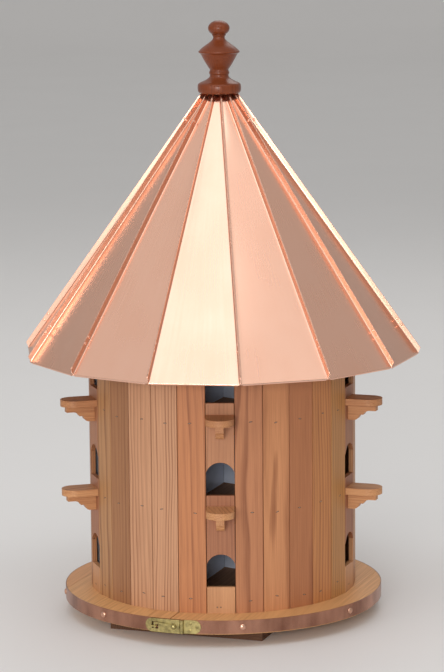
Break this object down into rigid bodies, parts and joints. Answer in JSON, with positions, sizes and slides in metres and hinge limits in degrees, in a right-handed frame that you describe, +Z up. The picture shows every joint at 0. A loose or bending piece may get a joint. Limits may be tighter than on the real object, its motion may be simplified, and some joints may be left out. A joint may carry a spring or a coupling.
{
  "type": "round bluebird house with a folded copper roof",
  "caption": "Round cedar bluebird house with arched doorways, perches, inner rooms, a split swing-open body, a copper standing-seam roof and a turned finial.",
  "frame": {"origin": "centre of the underside of the mount board, on the axis of the house", "axes": "+Z up along the axis of the house; -Y out through the front column of doorways; +X to the right seen from the front"},
  "size_m": [0.543, 0.5436, 0.8128],
  "materials": {
    "stave_cedar": "planed cedar, oiled",
    "block_cedar": "planed cedar, oiled",
    "perch_cedar": "planed cedar, oiled",
    "base_cedar": "planed cedar, oiled",
    "mount_wood": "sawn, dark",
    "inner_wood": "planed, bare",
    "finial_wood": "turned redwood, oiled",
    "roof_copper": "bright copper sheet, clear coated",
    "band_copper": "bright copper strip",
    "brass": "satin brass",
    "divider_sheet": "pale sheet metal"
  },
  "bodies": {
    "house": {"mount_board": "mount_wood", "base_board_right": "base_cedar", "base_strip_right": "base_cedar", "rim_band_right": "band_copper", "stave_front_left": "stave_cedar", "staves_front_right": "stave_cedar", "staves_back_right": "stave_cedar", "stave_back_right": "stave_cedar", "front_door_blocks": "block_cedar", "right_door_blocks": "block_cedar", "back_right_door_blocks": "block_cedar", "front_perch_shelves": "perch_cedar", "right_perch_shelves": "perch_cedar", "back_right_perch_shelves": "perch_cedar", "front_perch_brackets": "perch_cedar", "right_perch_brackets": "perch_cedar", "back_right_perch_brackets": "perch_cedar", "floors_right": "inner_wood", "dividers_right": "divider_sheet", "soffit_board": "inner_wood", "roof_post": "inner_wood", "roof_panels": "roof_copper", "finial": "finial_wood", "hasp_leaf": "brass", "hasp_pin": "brass", "hinge_leaf_right": "brass", "hinge_pin": "brass"},
    "left_half": {"base_board_left": "base_cedar", "base_strip_left": "base_cedar", "rim_band_left": "band_copper", "staves_back_left": "stave_cedar", "staves_side_left": "stave_cedar", "staves_front_left": "stave_cedar", "back_left_door_blocks": "block_cedar", "left_door_blocks": "block_cedar", "back_left_perch_shelves": "perch_cedar", "left_perch_shelves": "perch_cedar", "back_left_perch_brackets": "perch_cedar", "left_perch_brackets": "perch_cedar", "floors_left": "inner_wood", "dividers_left": "divider_sheet", "hasp_staple": "brass", "hinge_leaf_left": "brass"},
    "strap": {"hasp_strap": "brass", "hasp_rivet": "brass"},
    "hook": {"hasp_hook": "brass"}
  },
  "joints": [
    {"name": "left_half_swing", "type": "hinge", "parent": "house", "child": "left_half", "pos_m": [0.06868, 0.21137, 0.029], "axis": [0, 0, -1], "range_deg": [0, 16]},
    {"name": "hasp_strap_swing", "type": "hinge", "parent": "house", "child": "strap", "pos_m": [-0.05209, -0.21606, 0.029], "axis": [0, 0, 1], "range_deg": [0, 150]},
    {"name": "hasp_hook_turn", "type": "hinge", "parent": "strap", "child": "hook", "pos_m": [-0.06207, -0.21226, 0.029], "axis": [0.2807, 0.9598, 0], "range_deg": [0, 90]}
  ]
}
